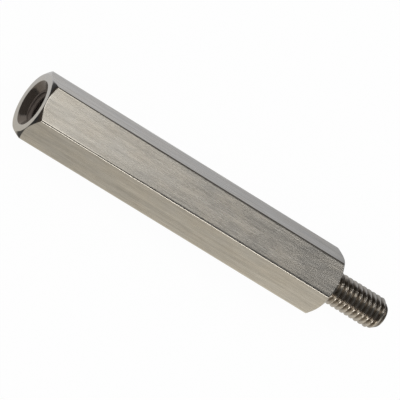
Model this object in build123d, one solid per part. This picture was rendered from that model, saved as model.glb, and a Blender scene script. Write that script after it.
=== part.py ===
from build123d import *
import math
import os

# Male-female hex standoff, turned from one length of drawn hexagonal bar.
#
# Millimetres. The origin is the centre of the shoulder, where the stud leaves the
# hexagon. +X runs along the stud, out of its tip, and the tapped hole opens at the
# far end of the hexagon, towards -X. One flat faces +Z and its opposite faces -Z,
# so the standoff lies on a flat as it comes to rest on a bench.
#
# The two threads are given by the plain cylinders that they are cut on: the stud
# at its crests and the tapped hole at its drilled wall.

# The hexagonal bar.
ACROSS_FLATS = 5.5
CORNER_RADIUS = 0.18
BODY_LENGTH = 31.0

# The open end: a shallow turned bevel that only takes the corners off.
OPEN_BEVEL_INSET = 0.04
OPEN_BEVEL_ANGLE = 40.0

# The shoulder end: a wider bevel that also clears the middle of each flat.
SHOULDER_BEVEL_INSET = 0.24
SHOULDER_BEVEL_ANGLE = 32.5

# The thread, the same on the stud and in the hole.
THREAD_DIAMETER = 3.0
THREAD_PITCH = 0.5
THREAD_DEPTH_PER_PITCH = 0.6134

# The stud.
STUD_LENGTH = 6.0
STUD_CREST_ALLOWANCE = 0.03
STUD_TIP_BEVEL_LENGTH = 0.65
STUD_TIP_BELOW_ROOT = 0.19
STUD_ROOT_FILLET = 0.06

# The tapped hole.
HOLE_DRILL_DEPTH = 10.0
HOLE_POINT_ANGLE = 118.0
COUNTERSINK_MARGIN = 0.6
COUNTERSINK_ANGLE = 90.0

stud_radius = THREAD_DIAMETER / 2 - STUD_CREST_ALLOWANCE
stud_root_radius = THREAD_DIAMETER / 2 - THREAD_DEPTH_PER_PITCH * THREAD_PITCH
stud_tip_radius = stud_root_radius - STUD_TIP_BELOW_ROOT
hole_radius = (THREAD_DIAMETER - THREAD_PITCH) / 2
countersink_radius = THREAD_DIAMETER / 2 + COUNTERSINK_MARGIN
open_face_x = -BODY_LENGTH


def revolved(points):
    """The solid swept round the X axis by a closed outline of (x, radius) points."""
    with BuildPart() as turned:
        with BuildSketch(Plane.XY):
            with BuildLine():
                Polyline(*points, close=True)
            make_face()
        revolve(axis=Axis.X)
    return turned.part


def hexagonal_bar():
    """The drawn bar at the body's length, with its six long corners rounded."""
    with BuildPart() as bar:
        # On this plane the sketch's own X is the part's Y, so a flat faces +Z.
        with BuildSketch(Plane((open_face_x, 0, 0), x_dir=(0, 1, 0), z_dir=(1, 0, 0))):
            RegularPolygon(radius=ACROSS_FLATS / 2, side_count=6, major_radius=False)
        extrude(amount=BODY_LENGTH)
        fillet(bar.edges().filter_by(Axis.X), radius=CORNER_RADIUS)
    return bar.part


def turned_envelope():
    """What the lathe leaves of the bar: a cylinder over the corners, bevelled at both ends."""
    corner_radius = ACROSS_FLATS / math.sqrt(3)
    open_face_radius = ACROSS_FLATS / 2 - OPEN_BEVEL_INSET
    shoulder_face_radius = ACROSS_FLATS / 2 - SHOULDER_BEVEL_INSET
    open_bevel_length = (corner_radius - open_face_radius) * math.tan(
        math.radians(OPEN_BEVEL_ANGLE)
    )
    shoulder_bevel_length = (corner_radius - shoulder_face_radius) * math.tan(
        math.radians(SHOULDER_BEVEL_ANGLE)
    )
    return revolved(
        [
            (open_face_x, 0),
            (open_face_x, open_face_radius),
            (open_face_x + open_bevel_length, corner_radius),
            (-shoulder_bevel_length, corner_radius),
            (0, shoulder_face_radius),
            (0, 0),
        ]
    )


def stud():
    """The stud at its thread crests, bevelled at the tip, reaching a little into the body."""
    embedded_x = -THREAD_DIAMETER / 2
    return revolved(
        [
            (embedded_x, 0),
            (embedded_x, stud_radius),
            (STUD_LENGTH - STUD_TIP_BEVEL_LENGTH, stud_radius),
            (STUD_LENGTH, stud_tip_radius),
            (STUD_LENGTH, 0),
        ]
    )


def tapped_hole():
    """What the drill and the countersink take out of the open end."""
    countersink_depth = (countersink_radius - hole_radius) / math.tan(
        math.radians(COUNTERSINK_ANGLE / 2)
    )
    point_length = hole_radius / math.tan(math.radians(HOLE_POINT_ANGLE / 2))
    return revolved(
        [
            (open_face_x, 0),
            (open_face_x, countersink_radius),
            (open_face_x + countersink_depth, hole_radius),
            (open_face_x + HOLE_DRILL_DEPTH, hole_radius),
            (open_face_x + HOLE_DRILL_DEPTH + point_length, 0),
        ]
    )


def shoulder_corner(part):
    """The circular edge in the corner between the shoulder and the stud."""
    return [
        edge
        for edge in part.edges().filter_by(GeomType.CIRCLE)
        if abs(edge.center().X) < 1e-6 and abs(edge.radius - stud_radius) < 1e-6
    ]


def hex_standoff():
    body = (hexagonal_bar() & turned_envelope()) - tapped_hole()
    whole = body + stud()
    return whole.fillet(STUD_ROOT_FILLET, shoulder_corner(whole))


os.makedirs("parts", exist_ok=True)
export_step(hex_standoff(), "parts/hex_standoff.step")
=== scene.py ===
import math

import bpy
from mathutils import Matrix, Vector


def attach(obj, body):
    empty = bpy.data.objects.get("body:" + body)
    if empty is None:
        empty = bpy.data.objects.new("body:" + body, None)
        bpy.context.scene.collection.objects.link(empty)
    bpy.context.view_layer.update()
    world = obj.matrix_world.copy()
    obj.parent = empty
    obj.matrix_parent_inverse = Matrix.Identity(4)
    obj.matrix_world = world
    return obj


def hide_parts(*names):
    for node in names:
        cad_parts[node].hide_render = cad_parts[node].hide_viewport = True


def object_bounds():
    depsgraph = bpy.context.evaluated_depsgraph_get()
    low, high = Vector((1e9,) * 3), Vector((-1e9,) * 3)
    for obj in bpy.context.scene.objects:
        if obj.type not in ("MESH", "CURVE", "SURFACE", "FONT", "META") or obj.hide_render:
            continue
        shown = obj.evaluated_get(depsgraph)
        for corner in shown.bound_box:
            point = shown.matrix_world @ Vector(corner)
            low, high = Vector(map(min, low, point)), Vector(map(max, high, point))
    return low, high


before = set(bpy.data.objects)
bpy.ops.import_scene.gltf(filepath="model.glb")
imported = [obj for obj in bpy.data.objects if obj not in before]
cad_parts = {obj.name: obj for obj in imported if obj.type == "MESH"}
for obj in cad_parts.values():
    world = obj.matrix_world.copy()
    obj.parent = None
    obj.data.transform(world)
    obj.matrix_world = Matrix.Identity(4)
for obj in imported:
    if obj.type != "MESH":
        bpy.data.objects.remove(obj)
cad_low, cad_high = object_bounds()


# ---------------------------------------------------------------------------
# The drawn bar. The standoff is cut from stainless hexagonal bar, pulled through
# a die, so it has six true flats, a small round on its long corners and long die
# lines in its warm grey skin. Every surface cut from it shares that tone.
# ---------------------------------------------------------------------------

MM = 0.001
ACROSS_FLATS = cad_high.z - cad_low.z
FLAT_RADIUS = ACROSS_FLATS / 2
LONG_CORNER_ROUND = 0.18 * MM
CORNER_STATIONS = 7
FLAT_STATIONS = 15
SIXTH = math.pi / 3


def corner_round():
    """Where the round of a long corner is centred, and the half angle that it takes up."""
    centre = (FLAT_RADIUS - LONG_CORNER_ROUND) / math.cos(SIXTH / 2)
    half_angle = math.atan2(
        LONG_CORNER_ROUND * math.sin(SIXTH / 2),
        centre + LONG_CORNER_ROUND * math.cos(SIXTH / 2),
    )
    return centre, half_angle


def hexagon_radius(angle):
    """How far the bar's surface is from its axis. A corner points to angle 0, which is +Y."""
    centre, half_angle = corner_round()
    off_corner = abs((angle + SIXTH / 2) % SIXTH - SIXTH / 2)
    if off_corner >= half_angle:
        return FLAT_RADIUS / math.cos(SIXTH / 2 - off_corner)
    across = centre * math.sin(off_corner)
    return centre * math.cos(off_corner) + math.sqrt(LONG_CORNER_ROUND ** 2 - across ** 2)


def bar_stations():
    """The angles of every ring: close together over each corner's round, wider over each flat."""
    half_angle = corner_round()[1]
    flat_span = SIXTH - 2 * half_angle
    angles = []
    for side in range(6):
        corner = side * SIXTH
        for i in range(CORNER_STATIONS):
            angles.append(corner - half_angle + 2 * half_angle * i / (CORNER_STATIONS - 1))
        for i in range(1, FLAT_STATIONS):
            angles.append(corner + half_angle + flat_span * i / FLAT_STATIONS)
    return angles


STATIONS = bar_stations()
AROUND = len(STATIONS)

points = []
faces = []
face_finish = []
finishes = []


def add_finish(material):
    """Adds a material to the standoff. Returns the number that its faces go by."""
    finishes.append(material)
    return len(finishes) - 1


def add_ring(x, radius):
    """A ring of points at x. The radius is a number, or a function of the angle."""
    first = len(points)
    for angle in STATIONS:
        r = radius(angle) if callable(radius) else radius
        points.append((x, r * math.cos(angle), r * math.sin(angle)))
    return [first + k for k in range(AROUND)]


def add_shaped_ring(place):
    """A ring whose x and radius both depend on the angle, as where a bevel meets the flats."""
    first = len(points)
    for angle in STATIONS:
        x, r = place(angle)
        points.append((x, r * math.cos(angle), r * math.sin(angle)))
    return [first + k for k in range(AROUND)]


def add_face(corners, finish):
    """A face with any repeated corners taken out; what is left with under three is no face."""
    kept = [c for i, c in enumerate(corners) if c != corners[i - 1]]
    if len(set(kept)) >= 3:
        faces.append(kept)
        face_finish.append(finish)


def join_rings(ring_a, ring_b, finish):
    """A band of faces from ring_a to ring_b."""
    for k in range(AROUND):
        n = (k + 1) % AROUND
        add_face([ring_a[k], ring_a[n], ring_b[n], ring_b[k]], finish)


def run_rings(rings, finish):
    """Bands from each ring to the next."""
    for ring_a, ring_b in zip(rings, rings[1:]):
        join_rings(ring_a, ring_b, finish)


def new_group(name, inputs, outputs):
    """An empty shader node group with named float, vector or colour sockets."""
    group = bpy.data.node_groups.new(name, "ShaderNodeTree")
    for label, kind, value in inputs:
        socket = group.interface.new_socket(label, in_out="INPUT", socket_type=kind)
        socket.default_value = value
    for label, kind in outputs:
        group.interface.new_socket(label, in_out="OUTPUT", socket_type=kind)
    return group, group.nodes.new("NodeGroupInput"), group.nodes.new("NodeGroupOutput")


def add_math(tree, operation, first, second=None):
    """A Math node on sockets or numbers. Returns its result."""
    node = tree.nodes.new("ShaderNodeMath")
    node.operation = operation
    for slot, value in enumerate((first, second)):
        if value is None:
            continue
        if hasattr(value, "node"):
            tree.links.new(value, node.inputs[slot])
        else:
            node.inputs[slot].default_value = value
    return node.outputs[0]


def add_noise(tree, fineness, detail, roughness):
    """Noise in the standoff's own metres, with a separate fineness along X, Y and Z."""
    place = tree.nodes.new("ShaderNodeTexCoord")
    mapping = tree.nodes.new("ShaderNodeMapping")
    mapping.inputs["Scale"].default_value = fineness
    noise = tree.nodes.new("ShaderNodeTexNoise")
    noise.inputs["Scale"].default_value = 1.0
    noise.inputs["Detail"].default_value = detail
    noise.inputs["Roughness"].default_value = roughness
    tree.links.new(place.outputs["Object"], mapping.inputs["Vector"])
    tree.links.new(mapping.outputs["Vector"], noise.inputs["Vector"])
    return noise.outputs["Fac"]


def add_range(tree, value, low, high, to_low, to_high):
    """The value carried from one range to another, held at its ends."""
    node = tree.nodes.new("ShaderNodeMapRange")
    node.clamp = True
    tree.links.new(value, node.inputs["Value"])
    node.inputs["From Min"].default_value = low
    node.inputs["From Max"].default_value = high
    node.inputs["To Min"].default_value = to_low
    node.inputs["To Max"].default_value = to_high
    return node.outputs["Result"]


def add_mix(tree, factor, first, second):
    """A colour mix on sockets or colours. Returns the mixed colour."""
    node = tree.nodes.new("ShaderNodeMix")
    node.data_type = "RGBA"
    for slot, value in ((0, factor), (6, first), (7, second)):
        if hasattr(value, "node"):
            tree.links.new(value, node.inputs[slot])
        else:
            node.inputs[slot].default_value = value
    return node.outputs[2]


def make_axis_group():
    """Where a point is on the standoff: how far from its axis, and how far along it, in metres."""
    group, _, out = new_group(
        "place on the axis", [], [("Radius", "NodeSocketFloat"), ("Along", "NodeSocketFloat")]
    )
    place = group.nodes.new("ShaderNodeTexCoord")
    split = group.nodes.new("ShaderNodeSeparateXYZ")
    group.links.new(place.outputs["Object"], split.inputs[0])
    y_squared = add_math(group, "MULTIPLY", split.outputs["Y"], split.outputs["Y"])
    z_squared = add_math(group, "MULTIPLY", split.outputs["Z"], split.outputs["Z"])
    radius = add_math(group, "SQRT", add_math(group, "ADD", y_squared, z_squared))
    group.links.new(radius, out.inputs["Radius"])
    group.links.new(split.outputs["X"], out.inputs["Along"])
    return group


axis_group = make_axis_group()


def add_axis_place(tree):
    """The distance from the axis and the distance along it, as two sockets."""
    node = tree.nodes.new("ShaderNodeGroup")
    node.node_tree = axis_group
    return node.outputs["Radius"], node.outputs["Along"]


PATCH_FINENESS = (330, 900, 900)
MOTTLE_FINENESS = (1500, 4500, 4500)


def make_tone_group():
    """Stainless colour: a warm and a cool grey in soft patches, and a finer mottle over them."""
    group, given, out = new_group(
        "stainless tone",
        [
            ("Warm", "NodeSocketColor", (0.60, 0.56, 0.50, 1)),
            ("Cool", "NodeSocketColor", (0.53, 0.53, 0.52, 1)),
            ("Mottle", "NodeSocketFloat", 0.12),
        ],
        [("Color", "NodeSocketColor"), ("Patches", "NodeSocketFloat")],
    )
    patches = add_noise(group, PATCH_FINENESS, 4.0, 0.6)
    patches = add_range(group, patches, 0.35, 0.65, 0.0, 1.0)
    mottle = add_noise(group, MOTTLE_FINENESS, 4.0, 0.65)
    spread = add_range(group, mottle, 0.3, 0.7, -0.5, 0.5)
    gain = add_math(group, "ADD", add_math(group, "MULTIPLY", spread, given.outputs["Mottle"]), 1.0)
    tone = add_mix(group, patches, given.outputs["Cool"], given.outputs["Warm"])
    scale = group.nodes.new("ShaderNodeVectorMath")
    scale.operation = "SCALE"
    group.links.new(tone, scale.inputs[0])
    group.links.new(gain, scale.inputs["Scale"])
    group.links.new(scale.outputs[0], out.inputs["Color"])
    group.links.new(patches, out.inputs["Patches"])
    return group


tone_group = make_tone_group()


def start_metal(name, warm, cool, mottle):
    """A metal material with its tone in place. Returns it with its tree, shader and tone node."""
    material = bpy.data.materials.new(name)
    material.use_nodes = True
    tree = material.node_tree
    shader = tree.nodes["Principled BSDF"]
    shader.inputs["Metallic"].default_value = 1.0
    tone = tree.nodes.new("ShaderNodeGroup")
    tone.node_tree = tone_group
    tone.inputs["Warm"].default_value = warm
    tone.inputs["Cool"].default_value = cool
    tone.inputs["Mottle"].default_value = mottle
    return material, tree, shader, tone


def bump_into(tree, shader, height, depth):
    """Feeds a height to the shader's normal, at a depth in metres."""
    bump = tree.nodes.new("ShaderNodeBump")
    bump.inputs["Strength"].default_value = 1.0
    bump.inputs["Distance"].default_value = depth
    tree.links.new(height, bump.inputs["Height"])
    tree.links.new(bump.outputs["Normal"], shader.inputs["Normal"])


DRAWN_WARM = (0.580, 0.555, 0.515, 1)
DRAWN_COOL = (0.555, 0.545, 0.525, 1)
DRAWN_MOTTLE = 0.10
BAND_FINENESS = (70, 2200, 2200)
BAND_GAIN = (0.90, 1.08)
DIE_LINE_FINENESS = (500, 8000, 8000)
DIE_LINE_GAIN = (0.89, 1.08)
DIE_LINE_ROUGHNESS = (0.20, 0.29)
WISP_FINENESS = (260, 3800, 3800)
WISP_GAIN = (0.92, 1.06)
PATCH_ROUGHNESS = 0.04
SHARP_CORNER_RADIUS = FLAT_RADIUS / math.cos(SIXTH / 2)
BURNISH_START = 0.085 * MM
BURNISH_FULL = 0.055 * MM
BURNISHED_COLOUR = (0.66, 0.64, 0.60, 1)
BURNISHED_ROUGHNESS = 0.10
DIE_LINE_DEPTH = 0.0018 * MM


def make_drawn_steel():
    """The bar's own skin: long die lines, broad lengthwise bands and burnished corners."""
    material, tree, shader, tone = start_metal(
        "drawn stainless", DRAWN_WARM, DRAWN_COOL, DRAWN_MOTTLE
    )
    bands = add_noise(tree, BAND_FINENESS, 3.0, 0.5)
    lines = add_noise(tree, DIE_LINE_FINENESS, 5.0, 0.75)
    wisps = add_noise(tree, WISP_FINENESS, 3.0, 0.6)
    band_gain = add_range(tree, bands, 0.3, 0.7, *BAND_GAIN)
    line_gain = add_range(tree, lines, 0.3, 0.7, *DIE_LINE_GAIN)
    wisp_gain = add_range(tree, wisps, 0.35, 0.65, *WISP_GAIN)
    gain = add_math(tree, "MULTIPLY", add_math(tree, "MULTIPLY", band_gain, line_gain), wisp_gain)
    scale = tree.nodes.new("ShaderNodeVectorMath")
    scale.operation = "SCALE"
    tree.links.new(tone.outputs["Color"], scale.inputs[0])
    tree.links.new(gain, scale.inputs["Scale"])
    radius = add_axis_place(tree)[0]
    burnish_from = SHARP_CORNER_RADIUS - BURNISH_START
    burnish_to = SHARP_CORNER_RADIUS - BURNISH_FULL
    burnished = add_range(tree, radius, burnish_from, burnish_to, 0.0, 1.0)
    plain = add_math(tree, "SUBTRACT", 1.0, burnished)
    colour = add_mix(tree, burnished, scale.outputs[0], BURNISHED_COLOUR)
    tree.links.new(colour, shader.inputs["Base Color"])
    line_rough = add_range(tree, lines, 0.3, 0.7, *DIE_LINE_ROUGHNESS)
    patch_rough = add_math(tree, "MULTIPLY", tone.outputs["Patches"], PATCH_ROUGHNESS)
    flat_rough = add_math(tree, "ADD", line_rough, patch_rough)
    corner_rough = add_math(tree, "MULTIPLY", burnished, BURNISHED_ROUGHNESS)
    rough = add_math(tree, "ADD", add_math(tree, "MULTIPLY", flat_rough, plain), corner_rough)
    tree.links.new(rough, shader.inputs["Roughness"])
    scratches = add_math(tree, "MULTIPLY", add_math(tree, "SUBTRACT", lines, 0.5), plain)
    bump_into(tree, shader, scratches, DIE_LINE_DEPTH)
    return material


DRAWN = add_finish(make_drawn_steel())


# ---------------------------------------------------------------------------
# The open end. It is the same bar, faced off in the lathe, bevelled just enough
# to take the hexagon's corners off and countersunk. Tumbling has then rounded
# its edges very slightly.
# ---------------------------------------------------------------------------

OPEN_FACE_X = cad_low.x
OPEN_FACE_RADIUS = 2.71 * MM
OPEN_BEVEL_ANGLE = 40.0
COUNTERSINK_RADIUS = 2.1 * MM
EDGE_ROUND = 0.03 * MM
FACE_BANDS = 6
TOOL_LEAD = 0.8
TOOL_WANDER = 0.25
WANDER_FINENESS = (900, 900, 900)
TURNED_WARM = (0.66, 0.64, 0.61, 1)
TURNED_COOL = (0.63, 0.625, 0.615, 1)
TURNED_MOTTLE = 0.08
TURNED_FINENESS = 24000.0
TURNED_MARK_DEPTH = 0.0012 * MM
TURNED_ROUGHNESS = (0.10, 0.18)
# Painted shade on the countersink: its dark colour, how metallic it stays, and how deep and how far out
# it reaches.
COUNTERSINK_PAINTED_SHADE = (0.17, 0.145, 0.125, 1)
COUNTERSINK_SHADE_METALLIC = 0.75
COUNTERSINK_SHADE_DEPTH = 1.0 * MM
COUNTERSINK_SHADE_RADIUS = COUNTERSINK_RADIUS * 0.99


def make_tool_marks_group():
    """The fine rings that a turning tool or a thread die leaves round the axis."""
    group, given, out = new_group(
        "turning marks",
        [("Fineness", "NodeSocketFloat", 22000.0)],
        [("Height", "NodeSocketFloat")],
    )
    radius, along = add_axis_place(group)
    place = add_math(group, "ADD", radius, add_math(group, "MULTIPLY", along, TOOL_LEAD))
    noise = group.nodes.new("ShaderNodeTexNoise")
    noise.noise_dimensions = "1D"
    noise.inputs["Scale"].default_value = 1.0
    noise.inputs["Detail"].default_value = 3.0
    noise.inputs["Roughness"].default_value = 0.6
    group.links.new(add_math(group, "MULTIPLY", place, given.outputs["Fineness"]), noise.inputs["W"])
    wander = add_noise(group, WANDER_FINENESS, 2.0, 0.5)
    wander = add_math(group, "MULTIPLY", wander, TOOL_WANDER)
    height = add_math(group, "ADD", noise.outputs["Fac"], wander)
    group.links.new(height, out.inputs["Height"])
    return group


tool_marks_group = make_tool_marks_group()


def make_turned_steel():
    """Faced and bevelled surfaces: a brighter cut metal with fine rings round the axis, and painted
    shade on the countersink.
    """
    material, tree, shader, tone = start_metal(
        "turned stainless", TURNED_WARM, TURNED_COOL, TURNED_MOTTLE
    )
    marks = tree.nodes.new("ShaderNodeGroup")
    marks.node_tree = tool_marks_group
    marks.inputs["Fineness"].default_value = TURNED_FINENESS
    radius, along = add_axis_place(tree)
    # Painted shade: the countersink's cone near the mouth is painted dark brown and made less metallic,
    # so the bore looks darker.
    within = add_math(tree, "LESS_THAN", radius, COUNTERSINK_SHADE_RADIUS)
    near_mouth = add_math(tree, "LESS_THAN", along, OPEN_FACE_X + COUNTERSINK_SHADE_DEPTH)
    painted_mouth_shade = add_math(tree, "MULTIPLY", within, near_mouth)
    colour = add_mix(tree, painted_mouth_shade, tone.outputs["Color"], COUNTERSINK_PAINTED_SHADE)
    tree.links.new(colour, shader.inputs["Base Color"])
    metallic = add_range(tree, painted_mouth_shade, 0.0, 1.0, 1.0, COUNTERSINK_SHADE_METALLIC)
    tree.links.new(metallic, shader.inputs["Metallic"])
    rough = add_range(tree, marks.outputs["Height"], 0.3, 0.9, *TURNED_ROUGHNESS)
    tree.links.new(rough, shader.inputs["Roughness"])
    bump_into(tree, shader, marks.outputs["Height"], TURNED_MARK_DEPTH)
    return material


TURNED = add_finish(make_turned_steel())


def open_bevel_x(radius):
    """Where the open end's bevel is, at a radius outside the end face."""
    return OPEN_FACE_X + (radius - OPEN_FACE_RADIUS) * math.tan(math.radians(OPEN_BEVEL_ANGLE))


def on_open_bevel(angle):
    """The line where the bevel meets the flats and the corners: an arc on each flat."""
    r = hexagon_radius(angle)
    return open_bevel_x(r), r


def between_face_and_arc(share):
    """A ring on the open bevel, a share of the way from the end face to the arc."""
    def place(angle):
        r = OPEN_FACE_RADIUS + (hexagon_radius(angle) - OPEN_FACE_RADIUS) * share
        return open_bevel_x(r), r
    return add_shaped_ring(place)


open_face_inner = add_ring(OPEN_FACE_X + EDGE_ROUND * 0.35, COUNTERSINK_RADIUS + EDGE_ROUND * 0.2)
open_face_inner_flat = add_ring(OPEN_FACE_X, COUNTERSINK_RADIUS + EDGE_ROUND)
open_face_outer = add_ring(OPEN_FACE_X, OPEN_FACE_RADIUS - EDGE_ROUND * 0.5)
open_rings = [open_face_inner, open_face_inner_flat]
for i in range(1, FACE_BANDS):
    radius = COUNTERSINK_RADIUS + (OPEN_FACE_RADIUS - COUNTERSINK_RADIUS) * i / FACE_BANDS
    open_rings.append(add_ring(OPEN_FACE_X, radius))
open_rings.append(open_face_outer)
for share in (0.12, 0.5, 0.88):
    open_rings.append(between_face_and_arc(share))
run_rings(open_rings, TURNED)


# ---------------------------------------------------------------------------
# The body's six flats, from bevel to bevel. They keep the bar's own drawn skin.
# At the shoulder the lathe bevels the bar more deeply, so that the bevel also
# clears the middle of each flat, and then faces the shoulder.
# ---------------------------------------------------------------------------

SHOULDER_FACE_RADIUS = 2.51 * MM
SHOULDER_BEVEL_ANGLE = 32.5
SHOULDER_BEVEL_SLOPE = math.tan(math.radians(SHOULDER_BEVEL_ANGLE))
BODY_BANDS = 40
ARC_EASE = EDGE_ROUND * 0.6
ARC_GUARD = 0.0016


def on_shoulder_bevel(angle):
    """The line where the shoulder's bevel meets the flats and the corners."""
    r = hexagon_radius(angle)
    return -(r - SHOULDER_FACE_RADIUS) * SHOULDER_BEVEL_SLOPE, r


def along_body(share):
    """A ring on the bar's own surface, a share of the way from one bevel's arc to the other's."""
    def place(angle):
        open_x, r = on_open_bevel(angle)
        shoulder_x = on_shoulder_bevel(angle)[0]
        open_x += ARC_EASE
        shoulder_x -= ARC_EASE
        return open_x + (shoulder_x - open_x) * share, r
    return add_shaped_ring(place)


def between_arc_and_shoulder(share):
    """A ring on the shoulder's bevel, a share of the way in from the arc to the shoulder face."""
    def place(angle):
        r = hexagon_radius(angle)
        r += (SHOULDER_FACE_RADIUS - r) * share
        return -(r - SHOULDER_FACE_RADIUS) * SHOULDER_BEVEL_SLOPE, r
    return add_shaped_ring(place)


body_shares = [i / BODY_BANDS for i in range(BODY_BANDS + 1)]
# A ring close to each arc keeps the flat truly flat right up to it.
body_shares[1:1] = [ARC_GUARD]
body_shares[-1:-1] = [1 - ARC_GUARD]
body_rings = [along_body(share) for share in body_shares]
join_rings(open_rings[-1], body_rings[0], TURNED)
run_rings(body_rings, DRAWN)
shoulder_rings = [between_arc_and_shoulder(share) for share in (0.06, 0.5, 0.94)]
join_rings(body_rings[-1], shoulder_rings[0], TURNED)
run_rings(shoulder_rings, TURNED)


# ---------------------------------------------------------------------------
# The stud. It is turned down from the same bar and die cut to a right-handed M3
# coarse thread. The last turn fades into a plain neck just short of the
# shoulder, and the tip is bevelled so that it starts easily.
# ---------------------------------------------------------------------------

PITCH = 0.5 * MM
THREAD_DEPTH_PER_PITCH = 0.6134
THREAD_EASE_PER_PITCH = 0.07
STUD_CREST_RADIUS = 1.47 * MM
STUD_TIP_X = cad_high.x
STUD_TIP_RADIUS = 1.003 * MM
STUD_TIP_BEVEL = 0.65 * MM
NECK_X = 0.08 * MM
NECK_FADE = 0.42 * MM
NECK_FILLET = 0.05 * MM
TIP_EDGE_LENGTH = 0.03 * MM
TIP_EDGE_ROUND = 0.02 * MM
CREST_HALF = 1 / 16
THREAD_PHASES = (
    0.0, 0.06, 0.125, 0.21, 0.30, 0.38, 0.4375,
    0.5, 0.5625, 0.62, 0.70, 0.79, 0.875, 0.94,
)
FLANK_SLOPE = math.sqrt(3)
ROW_SNAP = PITCH * 0.02
THREAD_WARM = (0.58, 0.545, 0.50, 1)
THREAD_COOL = (0.52, 0.50, 0.47, 1)
THREAD_MOTTLE = 0.15
THREAD_MARK_FINENESS = 40000.0
THREAD_MARK_DEPTH = 0.0008 * MM
THREAD_ROUGHNESS = 0.19
# Painted shade in the thread roots: how rough the darkened roots are, the patches it is broken into,
# where it starts and stops on the stud and in the hole, and its colour.
ROOT_SHADE_ROUGHNESS = 0.16
ROOT_SHADE_PATCH_FINENESS = (2500, 2500, 2500)
ROOT_SHADE_PATCH_SHARE = (0.55, 1.0)
STUD_SHADED_BELOW = 1.20 * MM
STUD_UNSHADED_ABOVE = 1.36 * MM
HOLE_UNSHADED_BELOW = 1.30 * MM
HOLE_SHADED_ABOVE = 1.50 * MM
PAINTED_ROOT_SHADE_COLOUR = (0.16, 0.13, 0.10, 1)
HOLE_ROOT_SHADE = 0.45
# Painted shade over the whole tapped hole: its dark colour, how metallic it stays, and the roughness it
# adds.
HOLE_PAINTED_SHADE_COLOUR = (0.17, 0.14, 0.12, 1)
HOLE_SHADE_METALLIC = 0.35
HOLE_SHADE_ROUGHNESS = 0.30


def make_threaded_steel():
    """Die and tap cut threads: bright crests, with painted shade darkening the roots and the whole
    hole, which are also made rougher.
    """
    material, tree, shader, tone = start_metal(
        "threaded stainless", THREAD_WARM, THREAD_COOL, THREAD_MOTTLE
    )
    marks = tree.nodes.new("ShaderNodeGroup")
    marks.node_tree = tool_marks_group
    marks.inputs["Fineness"].default_value = THREAD_MARK_FINENESS
    radius, along = add_axis_place(tree)
    in_hole = add_math(tree, "LESS_THAN", along, 0.0)
    on_stud = add_math(tree, "SUBTRACT", 1.0, in_hole)
    # Painted shade: the thread roots on the stud and in the hole are painted darker, in noisy patches,
    # and made rougher.
    stud_root = add_range(tree, radius, STUD_SHADED_BELOW, STUD_UNSHADED_ABOVE, 1.0, 0.0)
    hole_root = add_range(tree, radius, HOLE_UNSHADED_BELOW, HOLE_SHADED_ABOVE, 0.0, HOLE_ROOT_SHADE)
    shaded_hole_roots = add_math(tree, "MULTIPLY", hole_root, in_hole)
    root = add_math(tree, "ADD", shaded_hole_roots, add_math(tree, "MULTIPLY", stud_root, on_stud))
    root_shade_patches = add_noise(tree, ROOT_SHADE_PATCH_FINENESS, 4.0, 0.6)
    root_shade = add_math(tree, "MULTIPLY", root, add_range(tree, root_shade_patches, 0.3, 0.6, *ROOT_SHADE_PATCH_SHARE))
    colour = add_mix(tree, root_shade, tone.outputs["Color"], PAINTED_ROOT_SHADE_COLOUR)
    # Painted shade: the whole tapped hole is painted dark and made less metallic and rougher.
    colour = add_mix(tree, in_hole, colour, HOLE_PAINTED_SHADE_COLOUR)
    tree.links.new(colour, shader.inputs["Base Color"])
    metallic = add_range(tree, in_hole, 0.0, 1.0, 1.0, HOLE_SHADE_METALLIC)
    tree.links.new(metallic, shader.inputs["Metallic"])
    rough = add_math(tree, "ADD", add_math(tree, "MULTIPLY", root_shade, ROOT_SHADE_ROUGHNESS), THREAD_ROUGHNESS)
    rough = add_math(tree, "ADD", rough, add_math(tree, "MULTIPLY", in_hole, HOLE_SHADE_ROUGHNESS))
    tree.links.new(rough, shader.inputs["Roughness"])
    bump_into(tree, shader, marks.outputs["Height"], THREAD_MARK_DEPTH)
    return material


THREADED = add_finish(make_threaded_steel())


def thread_drop(phase):
    """How far the thread is cut below its crest, at a phase of 0 in the root and 0.5 on the crest."""
    from_crest = abs(phase - 0.5)
    drop = max(from_crest - CREST_HALF, 0.0) * PITCH * FLANK_SLOPE
    root_drop = THREAD_DEPTH_PER_PITCH * PITCH
    ease = THREAD_EASE_PER_PITCH * PITCH
    # Both corners of the flank are eased: a worn die leaves no sharp edge on either.
    gap = root_drop - drop
    return root_drop - 0.5 * (gap + math.sqrt(gap * gap + ease * ease))


def helix_sheet(start_ring, end_ring, start_x, end_x, radius_at, finish):
    """Faces that follow a right-handed helix from one ring to another.

    Row i of the sheet is one phase of one turn, so crests and roots run along
    the rows. Where a row would pass an end it becomes that end's own ring.
    """
    steps = len(THREAD_PHASES)
    made = {}

    def point(row, station):
        if station == AROUND:
            return point(row + steps, 0)
        if (row, station) in made:
            return made[row, station]
        phase = THREAD_PHASES[row % steps]
        x = start_x + PITCH * (row // steps + phase + STATIONS[station] / (2 * math.pi))
        if x <= start_x + ROW_SNAP:
            index = start_ring[station]
        elif x >= end_x - ROW_SNAP:
            index = end_ring[station]
        else:
            r = radius_at(x, phase)
            angle = STATIONS[station]
            index = len(points)
            points.append((x, r * math.cos(angle), r * math.sin(angle)))
        made[row, station] = index
        return index

    turns = math.ceil((end_x - start_x) / PITCH)
    for row in range(-2 * steps, (turns + 1) * steps):
        for k in range(AROUND):
            add_face(
                [point(row, k), point(row, k + 1), point(row + 1, k + 1), point(row + 1, k)],
                finish,
            )


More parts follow.
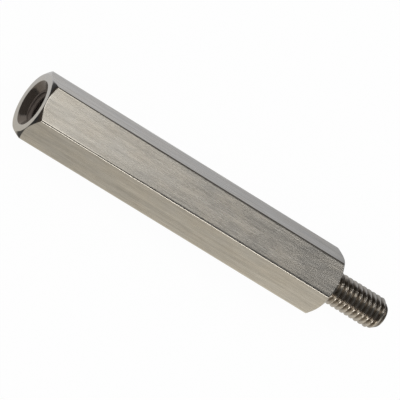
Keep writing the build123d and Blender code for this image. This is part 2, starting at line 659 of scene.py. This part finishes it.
def stud_radius(x, phase):
    """The stud's surface: the thread, faded out at the neck and cut back by the tip's bevel."""
    fade = min(max((x - NECK_X) / NECK_FADE, 0.0), 1.0)
    fade = fade * fade * (3 - 2 * fade)
    threaded = STUD_CREST_RADIUS - thread_drop(phase) * fade
    from_tip = STUD_TIP_X - x
    bevel = STUD_TIP_RADIUS + (STUD_CREST_RADIUS - STUD_TIP_RADIUS) * from_tip / STUD_TIP_BEVEL
    return min(threaded, bevel)


neck_root_radius = STUD_CREST_RADIUS + NECK_FILLET
neck_root = add_ring(0.0, neck_root_radius)
neck_mid = add_ring(NECK_FILLET * 0.3, STUD_CREST_RADIUS + NECK_FILLET * 0.3)
neck_end = add_ring(NECK_X, STUD_CREST_RADIUS)
shoulder_face = [shoulder_rings[-1], add_ring(0.0, SHOULDER_FACE_RADIUS - EDGE_ROUND * 0.5)]
for i in range(1, FACE_BANDS):
    radius = SHOULDER_FACE_RADIUS + (neck_root_radius - SHOULDER_FACE_RADIUS) * i / FACE_BANDS
    shoulder_face.append(add_ring(0.0, radius))
run_rings(shoulder_face + [neck_root, neck_mid, neck_end], TURNED)

tip_sheet_x = STUD_TIP_X - TIP_EDGE_LENGTH
tip_start = add_ring(tip_sheet_x, stud_radius(tip_sheet_x, 0.5))
helix_sheet(neck_end, tip_start, NECK_X, tip_sheet_x, stud_radius, THREADED)
tip_rings = [tip_start, add_ring(STUD_TIP_X, STUD_TIP_RADIUS - TIP_EDGE_ROUND)]
for share in (0.8, 0.6, 0.4, 0.2, 0.06):
    tip_rings.append(add_ring(STUD_TIP_X, STUD_TIP_RADIUS * share))
run_rings(tip_rings, TURNED)
faces.append(list(tip_rings[-1]))
face_finish.append(TURNED)


# ---------------------------------------------------------------------------
# The tapped hole. It is drilled from the open end, countersunk at its mouth and
# tapped to the same thread as the stud. The tap stops short of the drill's
# point, so the last of the hole is plain.
# ---------------------------------------------------------------------------

HOLE_RADIUS = 1.25 * MM
HOLE_ROOT_RADIUS = 1.515 * MM
HOLE_DRILL_DEPTH = 10.0 * MM
HOLE_THREAD_DEPTH = 8.0 * MM
HOLE_POINT_ANGLE = 118.0
HOLE_DRILL_END_X = OPEN_FACE_X + HOLE_DRILL_DEPTH
HOLE_THREAD_END_X = OPEN_FACE_X + HOLE_THREAD_DEPTH
HOLE_POINT_LENGTH = HOLE_RADIUS / math.tan(math.radians(HOLE_POINT_ANGLE / 2))
HOLE_FADE = 0.8 * MM
MOUTH_BANDS = 4


def countersink_at(x):
    """The countersink's radius at x, on its 90 degree cone."""
    return COUNTERSINK_RADIUS - (x - OPEN_FACE_X)


def hole_radius(x, phase):
    """The hole's surface: the tapped thread, opened out by the countersink at its mouth."""
    fade = min(max((HOLE_THREAD_END_X - x) / HOLE_FADE, 0.0), 1.0)
    # The tap's groove is where the stud's crest goes, so it is deepest at the same phase.
    full_depth = HOLE_ROOT_RADIUS - HOLE_RADIUS
    depth = full_depth - min(thread_drop(phase), full_depth)
    return max(HOLE_RADIUS + depth * fade, countersink_at(x))


sheet_x = OPEN_FACE_X + COUNTERSINK_RADIUS - HOLE_ROOT_RADIUS - EDGE_ROUND
sheet_start = add_ring(sheet_x, countersink_at(sheet_x))
mouth_rings = [sheet_start]
for i in range(1, MOUTH_BANDS + 1):
    x = sheet_x + (OPEN_FACE_X + EDGE_ROUND - sheet_x) * i / MOUTH_BANDS
    mouth_rings.append(add_ring(x, countersink_at(x)))
mouth_rings.append(open_face_inner)
thread_end = add_ring(HOLE_THREAD_END_X, HOLE_RADIUS)
# The hole is seen from inside, so its thread's faces are turned to look at the axis.
hole_faces_from = len(faces)
helix_sheet(sheet_start, thread_end, sheet_x, HOLE_THREAD_END_X, hole_radius, THREADED)
for face in range(hole_faces_from, len(faces)):
    faces[face].reverse()
run_rings(mouth_rings, TURNED)
deep_rings = []
for share in (0.06, 0.4, 0.7):
    deep_rings.append(add_ring(HOLE_DRILL_END_X + HOLE_POINT_LENGTH * (1 - share), HOLE_RADIUS * share))
deep_rings.append(add_ring(HOLE_DRILL_END_X, HOLE_RADIUS))
deep_rings.append(add_ring((HOLE_DRILL_END_X + HOLE_THREAD_END_X) / 2, HOLE_RADIUS))
deep_rings.append(thread_end)
faces.append(list(reversed(deep_rings[0])))
face_finish.append(TURNED)
run_rings(deep_rings, TURNED)


# ---------------------------------------------------------------------------
# The finished standoff. All of its surfaces meet edge to edge in one closed
# mesh, because it is one piece of metal, with a crisp edge at every tool change.
# ---------------------------------------------------------------------------

CRISP_EDGE = math.radians(28)

standoff_mesh = bpy.data.meshes.new("hex_standoff_metal")
standoff_mesh.from_pydata(points, [], faces)
standoff_mesh.validate()
for finish in finishes:
    standoff_mesh.materials.append(finish)
for polygon, finish in zip(standoff_mesh.polygons, face_finish):
    polygon.material_index = finish
    polygon.use_smooth = True
standoff_mesh.set_sharp_from_angle(angle=CRISP_EDGE)
standoff = bpy.data.objects.new("hex_standoff_metal", standoff_mesh)
bpy.context.scene.collection.objects.link(standoff)
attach(standoff, "root")
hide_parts("hex_standoff")


# ---------------------------------------------------------------------------
# The floor: a plain pale card that the standoff lies on, with a soft shadow. The
# camera sees it nearly white. Metal sees a pool of light on it instead, dimmed
# in three places to give the end bevels and the stud something dark to show.
# ---------------------------------------------------------------------------

FLOOR_HALF = 1.5
CARD_COLOUR = (0.74, 0.75, 0.77, 1)
CARD_ROUGHNESS = 0.9
FLOOR_WHITENING = 0.97
FLOOR_CLEARANCE = 0.02 * MM
POOL_INNER = 20 * MM
POOL_OUTER = 60 * MM
POOL_DIM = 0.06
POOL_LEAN = 0.20
POOL_SHARE = 0.95
POOL_WARM = (0.69, 0.64, 0.545, 1)
POOL_NEUTRAL = (0.565, 0.565, 0.575, 1)
SIDE_BLEND = 6 * MM
END_FALL_START = 4 * MM
END_FALL_END = 10 * MM
SHADE_BLEND = 0.5 * MM
SHADE_OVERLAP = 0.2 * MM
SHADED_SHARE = 0.1
STUD_FALL_START = 2 * MM
STUD_FALL_END = 7 * MM
STUD_FALL = 0.7


def make_floor_material():
    """White card. The camera sees it nearly white, and metal sees a pool of light on it."""
    material = bpy.data.materials.new("floor card")
    material.use_nodes = True
    tree = material.node_tree
    shader = tree.nodes["Principled BSDF"]
    shader.inputs["Base Color"].default_value = CARD_COLOUR
    shader.inputs["Roughness"].default_value = CARD_ROUGHNESS
    place = tree.nodes.new("ShaderNodeTexCoord")
    split = tree.nodes.new("ShaderNodeSeparateXYZ")
    tree.links.new(place.outputs["Object"], split.inputs[0])
    half_length = (cad_high.x - cad_low.x) / 2
    middle = (cad_high.x + cad_low.x) / 2
    past_end = add_math(tree, "ABSOLUTE", add_math(tree, "SUBTRACT", split.outputs["X"], middle))
    past_end = add_math(tree, "MAXIMUM", add_math(tree, "SUBTRACT", past_end, half_length), 0.0)
    past_end_squared = add_math(tree, "MULTIPLY", past_end, past_end)
    y_squared = add_math(tree, "MULTIPLY", split.outputs["Y"], split.outputs["Y"])
    away = add_math(tree, "SQRT", add_math(tree, "ADD", past_end_squared, y_squared))
    pool = add_range(tree, away, POOL_INNER, POOL_OUTER, 1.0, POOL_DIM)
    # The pool stops short past the open end, so that the near bevels there look into the dark.
    end_fall = add_range(
        tree, split.outputs["X"], cad_low.x - END_FALL_END, cad_low.x - END_FALL_START, POOL_DIM, 1.0
    )
    pool = add_math(tree, "MULTIPLY", pool, end_fall)
    # It is darker still past the open end and beside it, where the near corner's bevel looks.
    past_open_end = add_range(
        tree, split.outputs["X"], cad_low.x, cad_low.x + SHADE_BLEND, 1.0, 0.0
    )
    beside = add_range(
        tree, split.outputs["Y"], cad_low.y - SHADE_BLEND, cad_low.y + SHADE_OVERLAP, 1.0, 0.0
    )
    shade = add_math(tree, "MULTIPLY", past_open_end, beside)
    pool = add_math(tree, "MULTIPLY", pool, add_range(tree, shade, 0.0, 1.0, 1.0, SHADED_SHARE))
    # It falls off past the shoulder on the far side, so that the stud has a dark upper edge.
    side = add_range(tree, split.outputs["Y"], -SIDE_BLEND, SIDE_BLEND, 0.0, 1.0)
    past_shoulder = add_range(tree, split.outputs["X"], STUD_FALL_START, STUD_FALL_END, 0.0, STUD_FALL)
    stud_fall = add_math(tree, "SUBTRACT", 1.0, add_math(tree, "MULTIPLY", past_shoulder, side))
    pool = add_math(tree, "MULTIPLY", pool, stud_fall)
    # Warm on the side softbox's side, neutral on the other, and leaning opposite ways along the bar.
    pool_colour = add_mix(tree, side, POOL_WARM, POOL_NEUTRAL)
    end_way = add_range(tree, split.outputs["X"], cad_low.x, cad_high.x, -1.0, 1.0)
    side_way = add_range(tree, split.outputs["Y"], -SIDE_BLEND, SIDE_BLEND, -1.0, 1.0)
    lean = add_math(tree, "MULTIPLY", add_math(tree, "MULTIPLY", end_way, side_way), -POOL_LEAN)
    pool = add_math(tree, "MULTIPLY", pool, add_math(tree, "ADD", lean, 1.0))
    pool_light = tree.nodes.new("ShaderNodeEmission")
    tree.links.new(pool_colour, pool_light.inputs["Color"])
    tree.links.new(pool, pool_light.inputs["Strength"])
    white = tree.nodes.new("ShaderNodeEmission")
    path = tree.nodes.new("ShaderNodeLightPath")
    to_metal = tree.nodes.new("ShaderNodeMixShader")
    pool_share = add_math(tree, "MULTIPLY", path.outputs["Is Glossy Ray"], POOL_SHARE)
    tree.links.new(pool_share, to_metal.inputs[0])
    tree.links.new(shader.outputs[0], to_metal.inputs[1])
    tree.links.new(pool_light.outputs[0], to_metal.inputs[2])
    to_camera = tree.nodes.new("ShaderNodeMixShader")
    share = add_math(tree, "MULTIPLY", path.outputs["Is Camera Ray"], FLOOR_WHITENING)
    tree.links.new(share, to_camera.inputs[0])
    tree.links.new(to_metal.outputs[0], to_camera.inputs[1])
    tree.links.new(white.outputs[0], to_camera.inputs[2])
    tree.links.new(to_camera.outputs[0], tree.nodes["Material Output"].inputs["Surface"])
    return material


floor_mesh = bpy.data.meshes.new("floor")
floor_corners = ((-1, -1), (1, -1), (1, 1), (-1, 1))
floor_z = cad_low.z - FLOOR_CLEARANCE
floor_mesh.from_pydata(
    [(x * FLOOR_HALF, y * FLOOR_HALF, floor_z) for x, y in floor_corners], [], [(0, 1, 2, 3)]
)
floor_mesh.materials.append(make_floor_material())
floor = bpy.data.objects.new("floor", floor_mesh)
bpy.context.scene.collection.objects.link(floor)


# ---------------------------------------------------------------------------
# The studio: a dim warm room, a little paler overhead, and four softboxes. One
# hangs over the standoff, two stand past its stud to pick out the thread, and
# one is low at its side to run a bright line down the near long corner.
# ---------------------------------------------------------------------------

# The room's light by height, from straight down at -1 to straight up at 1.
ROOM = [
    (-1.0, (0.050, 0.040, 0.032)),
    (0.48, (0.050, 0.040, 0.032)),
    (0.66, (0.10, 0.096, 0.090)),
    (1.0, (0.11, 0.11, 0.11)),
]
AMBIENT = (0.66, 0.66, 0.67, 1)


def make_world():
    """White to the camera, a room that is paler overhead to metal, and even light to the rest."""
    world = bpy.data.worlds.new("studio")
    world.use_nodes = True
    tree = world.node_tree
    room = tree.nodes["Background"]
    white = tree.nodes.new("ShaderNodeBackground")
    white.inputs["Color"].default_value = (1, 1, 1, 1)
    place = tree.nodes.new("ShaderNodeTexCoord")
    split = tree.nodes.new("ShaderNodeSeparateXYZ")
    ramp = tree.nodes.new("ShaderNodeValToRGB")
    stops = ramp.color_ramp.elements
    while len(stops) < len(ROOM):
        stops.new(0.5)
    for stop, (height, colour) in zip(stops, ROOM):
        stop.position = (height + 1) / 2
        stop.color = (*colour, 1)
    tree.links.new(place.outputs["Generated"], split.inputs[0])
    tree.links.new(add_range(tree, split.outputs["Z"], -1.0, 1.0, 0.0, 1.0), ramp.inputs[0])
    tree.links.new(ramp.outputs["Color"], room.inputs["Color"])
    ambient = tree.nodes.new("ShaderNodeBackground")
    ambient.inputs["Color"].default_value = AMBIENT
    path = tree.nodes.new("ShaderNodeLightPath")
    lit = tree.nodes.new("ShaderNodeMixShader")
    tree.links.new(path.outputs["Is Glossy Ray"], lit.inputs[0])
    tree.links.new(ambient.outputs[0], lit.inputs[1])
    tree.links.new(room.outputs[0], lit.inputs[2])
    mix = tree.nodes.new("ShaderNodeMixShader")
    tree.links.new(path.outputs["Is Camera Ray"], mix.inputs[0])
    tree.links.new(lit.outputs[0], mix.inputs[1])
    tree.links.new(white.outputs[0], mix.inputs[2])
    tree.links.new(mix.outputs[0], tree.nodes["World Output"].inputs["Surface"])
    return world


def add_softbox(name, centre, target, width, height, radiance, colour):
    """A soft lamp facing a target. The radiance is how bright its face looks."""
    light = bpy.data.lights.new(name, "AREA")
    light.shape = "RECTANGLE"
    light.size = width
    light.size_y = height
    light.energy = radiance * math.pi * width * height
    light.color = colour
    lamp = bpy.data.objects.new(name, light)
    lamp.location = centre
    away = Vector(centre) - Vector(target)
    lamp.rotation_euler = away.to_track_quat("Z", "Y").to_euler()
    lamp.visible_camera = False
    bpy.context.scene.collection.objects.link(lamp)


bpy.context.scene.world = make_world()
OVER_BAR = (-0.033, 0.075, 0.0)
STUD_FOOT = (0.0, 0.0, 0.0)
MID_BAR = (-0.01, 0.0, 0.0)
CREAM = (1.0, 0.955, 0.87)
WARM_WHITE = (1.0, 0.955, 0.88)
SOFT_WHITE = (1.0, 0.975, 0.94)
add_softbox("overhead softbox", (-0.033, 0.075, 0.30), OVER_BAR, 0.26, 0.18, 1.38, CREAM)
add_softbox("end softbox", (0.25, 0.155, 0.30), STUD_FOOT, 0.11, 0.06, 5.0, SOFT_WHITE)
add_softbox("far end softbox", (0.23, 0.26, 0.235), STUD_FOOT, 0.05, 0.06, 7.0, SOFT_WHITE)
add_softbox("side softbox", (0.088, -0.30, 0.075), MID_BAR, 0.13, 0.075, 3.8, WARM_WHITE)


# ---------------------------------------------------------------------------
# The camera. It is a long lens, a little under half a metre away, and it looks
# down past the open end and along the body to the stud.
# ---------------------------------------------------------------------------

CAMERA_AIM = Vector((-13.70, 0.40, 0.0)) * MM
CAMERA_DISTANCE = 446.15 * MM
CAMERA_AZIMUTH = math.radians(-61.28)
CAMERA_ELEVATION = math.radians(63.60)
CAMERA_ROLL = math.radians(90.17)
CAMERA_LENS = 482.4
CAMERA_SENSOR = 36.0

camera_data = bpy.data.cameras.new("camera")
camera_data.lens = CAMERA_LENS
camera_data.sensor_width = CAMERA_SENSOR
camera = bpy.data.objects.new("camera", camera_data)
towards_camera = Vector((
    math.sin(CAMERA_AZIMUTH) * math.cos(CAMERA_ELEVATION),
    -math.cos(CAMERA_AZIMUTH) * math.cos(CAMERA_ELEVATION),
    math.sin(CAMERA_ELEVATION),
))
level = (-towards_camera).to_track_quat("-Z", "Y").to_matrix().to_4x4()
camera.matrix_world = (
    Matrix.Translation(CAMERA_AIM + towards_camera * CAMERA_DISTANCE)
    @ level
    @ Matrix.Rotation(CAMERA_ROLL, 4, "Z")
)
bpy.context.scene.collection.objects.link(camera)
bpy.context.scene.camera = camera
bpy.context.scene.view_settings.view_transform = "Standard"
